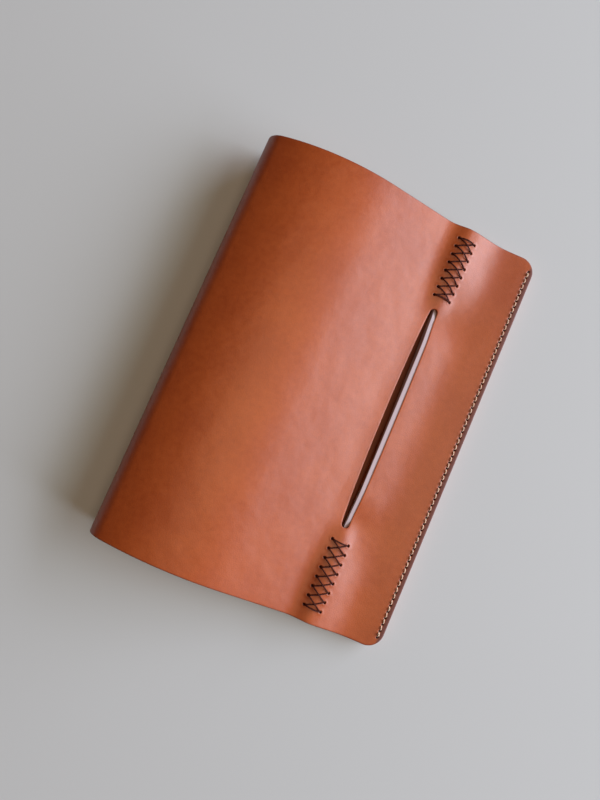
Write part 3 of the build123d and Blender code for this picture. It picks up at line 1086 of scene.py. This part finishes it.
def front_pattern(layout):
    """The front's half of the folded sheet, from the leftmost line to the fore edge."""
    profile, shape = layout.profile, layout.shape
    near, far = profile.leftmost, profile.total
    seam = far - layout.threads.seam_inset
    heights = pattern_heights(layout)
    lengths = graded(
        (near, 0.25 * MM),
        (near + 1.5 * MM, 0.7 * MM),
        (near + 18 * MM, 2.0 * MM),
        (layout.crest_s - 11 * MM, 0.7 * MM),
        (layout.crest_s + 9 * MM, 1.6 * MM),
        (seam - 2.4 * MM, 0.4 * MM),
        (far - EDGE_MARGIN,),
    )
    panel = Panel(near, far, layout.half_length, 0, shape.corner_radius)
    leather = FlatLeather(shape.leather)
    leather.round_edge(panel.rim(lengths, heights), COVER_EDGE)
    leather.round_edge(slit_rim(layout), SLIT_EDGE, cut=True, burn=SLIT_BURN)
    dent = Dent(layout, seam, laced=True)
    for s, y in dent.holes:
        rim = oval_rim((s, y), layout.threads.lace_hole, layout.threads.lace_hole, 0, RING_POINTS)
        leather.round_edge(rim, LACE_HOLE_EDGE, cut=True)
        for depth in RING_DEPTHS:
            leather.add(rim.inside(depth))
    seam_holes(layout, leather, seam, -layout.threads.stitch_slant - PRICK_LEAN)

    def free(s, y):
        if s == near:
            return True
        if panel.depth(s, y) < EDGE_ROOM or near_stitch_hole(layout, seam, s, y):
            return False
        if layout.beside_slit(y) > -SLIT_ROOM:
            if layout.slit_lip(y, -1) - EDGE_ROOM < s < layout.slit_lip(y, 1) + EDGE_ROOM:
                return False
        if abs(layout.from_crest(s, y)) < LACE_BAND:
            return all(hypot(s - p, y - q) > LACE_ROOM for p, q in dent.holes)
        return True

    leather.fill(lengths, heights, free)
    return leather.mesh("cover_front", dent.face, dent.flesh, (near,), dent.tone)


def back_pattern(layout):
    """The back's half of the folded sheet, from the fore edge to the leftmost line."""
    profile, shape = layout.profile, layout.shape
    near, far = 0.0, profile.leftmost
    seam = layout.threads.seam_inset
    bend = far - shape.back_bend * pi / 2
    heights = graded((TAIL_Y + EDGE_MARGIN, 1.7 * MM), (HEAD_Y - EDGE_MARGIN,))
    lengths = graded(
        (EDGE_MARGIN, 0.4 * MM),
        (seam + 2.4 * MM, 3.0 * MM),
        (bend - 3 * MM, 0.8 * MM),
        (far - 1.5 * MM, 0.25 * MM),
        (far,),
    )
    panel = Panel(near, far, layout.half_length, shape.corner_radius, 0)
    leather = FlatLeather(shape.leather)
    leather.round_edge(panel.rim(lengths, heights), COVER_EDGE)
    dent = Dent(layout, seam)
    seam_holes(layout, leather, seam, layout.threads.stitch_slant + PRICK_LEAN)

    def free(s, y):
        if s == far:
            return True
        return panel.depth(s, y) > EDGE_ROOM and not near_stitch_hole(layout, seam, s, y)

    leather.fill(lengths, heights, free)
    return leather.mesh("cover_back", dent.face, dent.flesh, (far,), dent.tone)


def flap_pattern(layout, name, near, far, radii, lean=0.0, lift=lambda s, y: 0.0):
    """A flap: its free edge has small corners and its sewn edge has the cover's.

    The near edge leans from the spine's direction, and lift raises the leather.
    """
    shape = layout.shape
    panel = Panel(near, far, layout.half_length, *radii)
    lengths = graded((near + 0.9 * MM, 0.8 * MM), (near + 9 * MM, 3 * MM), (far - EDGE_MARGIN,))
    heights = graded((TAIL_Y + EDGE_MARGIN, 2 * MM), (HEAD_Y - EDGE_MARGIN,))
    leather = FlatLeather(shape.flap_leather)
    leather.round_edge(panel.rim(lengths, heights), FLAP_EDGE, burn=FLAP_BURN)
    leather.fill(lengths, heights, lambda s, y: panel.depth(s, y) > FLAP_ROOM)
    wide = far - near
    leather.places = [(s - lean * y * (far - s) / wide, y) for s, y in leather.places]
    face = -(shape.leather + shape.flap_gap)

    def height(s, y):
        return face + lift(s, y)

    return leather.mesh(name, height, height)


def roll(layout, flats, skin):
    """Roll flat leathers along the cross-section."""
    profile = layout.profile
    count = ceil(profile.total / PROFILE_STEP)
    line = bpy.data.curves.new("cross-section", "CURVE")
    line.dimensions = "3D"
    spline = line.splines.new("POLY")
    spline.points.add(count)
    for k, point in enumerate(spline.points):
        x, z, _ = profile.at(profile.total * k / count)
        point.co = (x, 0, z, 1)
    guide = bpy.data.objects.new("cross-section", line)
    bpy.context.scene.collection.objects.link(guide)
    recipe = rolling_recipe()
    values = {"Cross-section": guide, "Material": skin}
    pieces = [recipe.make(flat.name, flat, values) for flat in flats]
    bpy.data.objects.remove(guide)
    return pieces


# ---- Thread runs ----
def stitch_run(layout, first, last, rise, bow, sunk):
    """The way of one stitch over the face, out of one hole and into another.

    It rises and bows towards the nearer end of the spine, and its last part lies
    sunk in the leather.
    """
    radius = layout.threads.lace_thread
    size = hypot(last[0] - first[0], last[1] - first[1])
    outward = 1 if first[1] > 0 else -1
    sinks = [layout.shape.leather]
    sinks += [(1 - away / DIVE_REACH) ** 2 * DIVE_DEPTH for away in DIVE_PLACES[1:]]
    dive = [(away, radius - sink) for away, sink in zip(DIVE_PLACES, sinks)]
    middle = evenly(DIVE_REACH, size - DIVE_REACH, LACE_POINTS) + [size - DIVE_REACH]
    run = dive + [(away, radius) for away in middle]
    run += [(size - away, h) for away, h in reversed(dive)]
    places = []
    for away, h in run:
        share = away / size
        s, y = (a + (b - a) * share for a, b in zip(first, last))
        arch = sin(pi * share)
        h += rise * arch - sunk * smooth((share - 0.5) / 0.2)
        y += outward * bow * arch
        places.append(layout.profile.place(s, y, h + layout.ridge(s, y)))
    return places


def hidden_run(layout, first, last):
    """The way of a thread under the leather, from one hole of a row to the next."""
    radius = layout.threads.lace_thread
    places = []
    for share, drop in HIDDEN_WAY:
        s, y = (a + (b - a) * share for a, b in zip(first, last))
        h = layout.ridge(s, y) - layout.shape.leather - radius - drop * radius
        places.append(layout.profile.place(s, y, h))
    return places


def lace_curve(layout, rows):
    """The lines of one group of cross stitches."""
    near, far = ([(s + sense * PULL, y) for s, y in row] for row, sense in zip(rows, (1, -1)))
    radius = layout.threads.lace_thread
    rise = LACE_RISE * radius
    runs = [stitch_run(layout, near[k], far[k], rise, LACE_BOW, 0) for k in (0, -1)]
    for k in range(len(near) - 1):
        runs.append(stitch_run(layout, near[k], far[k + 1], rise, LACE_BOW, 0))
        runs.append(stitch_run(layout, near[k + 1], far[k], 0, 0, LACE_SINK * radius))
        runs += [hidden_run(layout, row[k], row[k + 1]) for row in (near, far)]
    line = bpy.data.curves.new("lacing", "CURVE")
    line.dimensions = "3D"
    for run in runs:
        spline = line.splines.new("NURBS")
        spline.points.add(len(run) - 1)
        for point, place in zip(spline.points, run):
            point.co = (*place, 1)
        spline.order_u = 3
        spline.use_endpoint_u = True
    return line


# ---- The stage ----
def softbox(name, place, size, power, tint):
    """A large soft light that faces the cover."""
    lamp = bpy.data.lights.new(name, "AREA")
    lamp.shape = "RECTANGLE"
    lamp.size, lamp.size_y = size
    lamp.energy = power
    lamp.color = tint
    holder = bpy.data.objects.new(name, lamp)
    holder.location = place
    holder.rotation_euler = (-place).to_track_quat("-Z", "Y").to_euler()
    bpy.context.scene.collection.objects.link(holder)


# ---- Operators ----
class Making:
    """What every operator here has in common."""

    bl_options = {"REGISTER", "UNDO"}

    def execute(self, context):
        self.build(context.scene, Layout(context.scene))
        return {"FINISHED"}


class FoldLeather(Making, bpy.types.Operator):
    """Cut the outer sheet and roll it round the spine, along the bends of the cross-section"""

    bl_idname = "notebook_cover.fold_leather"
    bl_label = "Fold the outer leather"

    def build(self, scene, layout):
        skin = cover_leather(scene.cover_colours)
        pieces = roll(layout, [back_pattern(layout), front_pattern(layout)], skin)
        back, front = pieces
        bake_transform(back)
        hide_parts("back_panel", "spine")
        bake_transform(front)
        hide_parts("front_panel", "spine")


class CutFlaps(Making, bpy.types.Operator):
    """Cut the two flaps and lay them inside the cover"""

    bl_idname = "notebook_cover.cut_flaps"
    bl_label = "Cut the flaps"

    def build(self, scene, layout):
        colours = scene.cover_colours
        skins = [
            flap_leather("Flap leather", colours.flap, colours.flap_edge),
            flap_leather("Back flap leather", colours.back_flap, colours.flap_edge),
        ]
        end, corner = layout.profile.total, scene.cover_shape.corner_radius
        free_edge = layout.profile.length_at(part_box("front_flap")[0].x) - PEEK
        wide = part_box("back_flap")[1].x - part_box("back_flap")[0].x
        skew = layout.crest_skew

        def lift(s, y):
            beside_slit = layout.beside_slit(y)
            inner = s - free_edge + skew * y
            curl = CURL * min(1.0, max(0.0, 1 - inner / CURL_REACH))
            in_slit = SKIVE * smooth(beside_slit / SKIVE_REACH) * (inner < FREE_STRIP)
            pared = max(layout.skive(s, y), in_slit)
            under_fore_lip = max(s, layout.crest_s - skew * y)
            rise = layout.ridge(under_fore_lip, y) + curl * smooth(beside_slit / CURL_FADE) + pared
            return rise * smooth(1 + beside_slit / LIFT_FADE)

        front_radii, back_radii = (FREE_CORNER, corner), (corner, FREE_CORNER)
        flats = [
            flap_pattern(layout, "front_flap_leather", free_edge, end, front_radii, skew, lift),
            flap_pattern(layout, "back_flap_leather", 0, wide, back_radii),
        ]
        for flat, skin, body in zip(flats, skins, ("front", "back")):
            (piece,) = roll(layout, [flat], skin)
            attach(piece, body)
            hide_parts(body + "_flap")


class SewSeams(Making, bpy.types.Operator):
    """Sew the flaps to the front and the back with slanted stitches"""

    bl_idname = "notebook_cover.sew_seams"
    bl_label = "Sew the seams"

    def build(self, scene, layout):
        threads, shape = scene.cover_threads, scene.cover_shape
        skin = waxed_thread("Seam thread", scene.cover_colours.seam, 0.5)
        recipe = seam_recipe()
        depth = shape.leather + shape.flap_gap + shape.flap_leather
        common = {
            "Count": layout.stitch_count,
            "Pitch": threads.stitch_pitch,
            "Stitch length": threads.stitch_pitch - threads.stitch_space,
            "Dip": STITCH_DIP,
            "Slant": threads.stitch_slant,
            "End size": END_STITCH,
            "Thread radius": threads.seam_thread,
            "Twist": SEAM_TWIST * threads.twist,
            "Seam": FORE_X - threads.seam_inset,
            "Material": skin,
        }
        point = bpy.data.meshes.new("seam")
        point.from_pydata([(0, 0, 0)], [], [])
        for body, upper, bulge, sunk, seed in (
            ("front", shape.fore_height, 1.5 * MM, -STITCH_CLEAR, 5),
            ("back", depth, 1.0 * MM, 0.5 * MM, 4),
        ):
            own = {
                "Bulge": bulge,
                "Upper height": upper + STITCH_CLEAR,
                "Lower height": upper - depth + sunk,
                "Seed": seed,
            }
            piece = recipe.make(body + "_seam_stitches", point, common | own)
            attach(piece, body)
            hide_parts(body + "_seam_thread")


class LaceRidge(Making, bpy.types.Operator):
    """Draw the ridge together with two groups of cross stitches"""

    bl_idname = "notebook_cover.lace_ridge"
    bl_label = "Lace the ridge"

    def build(self, scene, layout):
        threads = scene.cover_threads
        values = {
            "Thread radius": threads.lace_thread,
            "Twist": threads.twist,
            "Step": LACE_STEP,
            "Material": waxed_thread("Lace thread", scene.cover_colours.lace, 0.3),
        }
        recipe = lacing_recipe()
        for name, rows in zip(("upper_cross_stitch", "lower_cross_stitch"), layout.laces):
            piece = recipe.make(name + "es", lace_curve(layout, rows), values)
            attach(piece, "front")
            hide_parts(name)


class SetStage(Making, bpy.types.Operator):
    """Put the table, the lights, the room and the camera in place"""

    bl_idname = "notebook_cover.set_stage"
    bl_label = "Set the stage"

    def build(self, scene, layout):
        top = bpy.data.meshes.new("table")
        corners = ((-1, -1), (1, -1), (1, 1), (-1, 1))
        places = [(TABLE_HALF * x, TABLE_HALF * y, -TABLE_DROP) for x, y in corners]
        top.from_pydata(places, [], [(0, 1, 2, 3)])
        top.materials.append(table_top(scene.cover_colours))
        link_piece("table", top)
        for name, side, height, size, power, tint in LIGHTS:
            side, height = radians(side), radians(height)
            way = Vector((cos(height) * cos(side), cos(height) * sin(side), sin(height)))
            softbox(name, LIGHT_REACH * way, size, power, tint)
        scene.world = bpy.data.worlds.new("room")
        scene.world.use_nodes = True
        backdrop = scene.world.node_tree.nodes["Background"]
        backdrop.inputs["Color"].default_value = ROOM_TINT
        backdrop.inputs["Strength"].default_value = ROOM_STRENGTH
        scene.view_settings.view_transform = "Standard"
        lens = bpy.data.cameras.new("camera")
        lens.lens = FOCAL_LENGTH
        lens.clip_start = 0.01
        camera = bpy.data.objects.new("camera", lens)
        camera.location = CAMERA_PLACE
        camera.rotation_mode = "ZYX"
        camera.rotation_euler = CAMERA_TURN
        scene.collection.objects.link(camera)
        scene.camera = camera


STEPS = (FoldLeather, CutFlaps, SewSeams, LaceRidge, SetStage)


class CoverPanel(bpy.types.Panel):
    """Lists the steps, and the sizes and colours that they use"""

    bl_label = "Notebook cover"
    bl_idname = "VIEW3D_PT_notebook_cover"
    bl_space_type = "VIEW_3D"
    bl_region_type = "UI"
    bl_category = "Notebook cover"

    def draw(self, context):
        for step in STEPS:
            self.layout.operator(step.bl_idname)
        for name, group in GROUPS.items():
            box = self.layout.box()
            for field in group.__annotations__:
                box.prop(getattr(context.scene, name), field)


GROUPS = {"cover_shape": CoverShape, "cover_threads": CoverThreads, "cover_colours": CoverColours}
CLASSES = (*GROUPS.values(), *STEPS, CoverPanel)


def register():
    """Make the sizes, the steps and the panel known."""
    for listed in CLASSES:
        bpy.utils.register_class(listed)
    for name, group in GROUPS.items():
        setattr(bpy.types.Scene, name, PointerProperty(type=group))


def unregister():
    """Take them out again."""
    for name in GROUPS:
        delattr(bpy.types.Scene, name)
    for listed in reversed(CLASSES):
        bpy.utils.unregister_class(listed)


def main():
    """Make the cover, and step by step."""
    register()
    for step in STEPS:
        group, name = step.bl_idname.split(".")
        getattr(getattr(bpy.ops, group), name)()


if __name__ == "__main__":
    main()
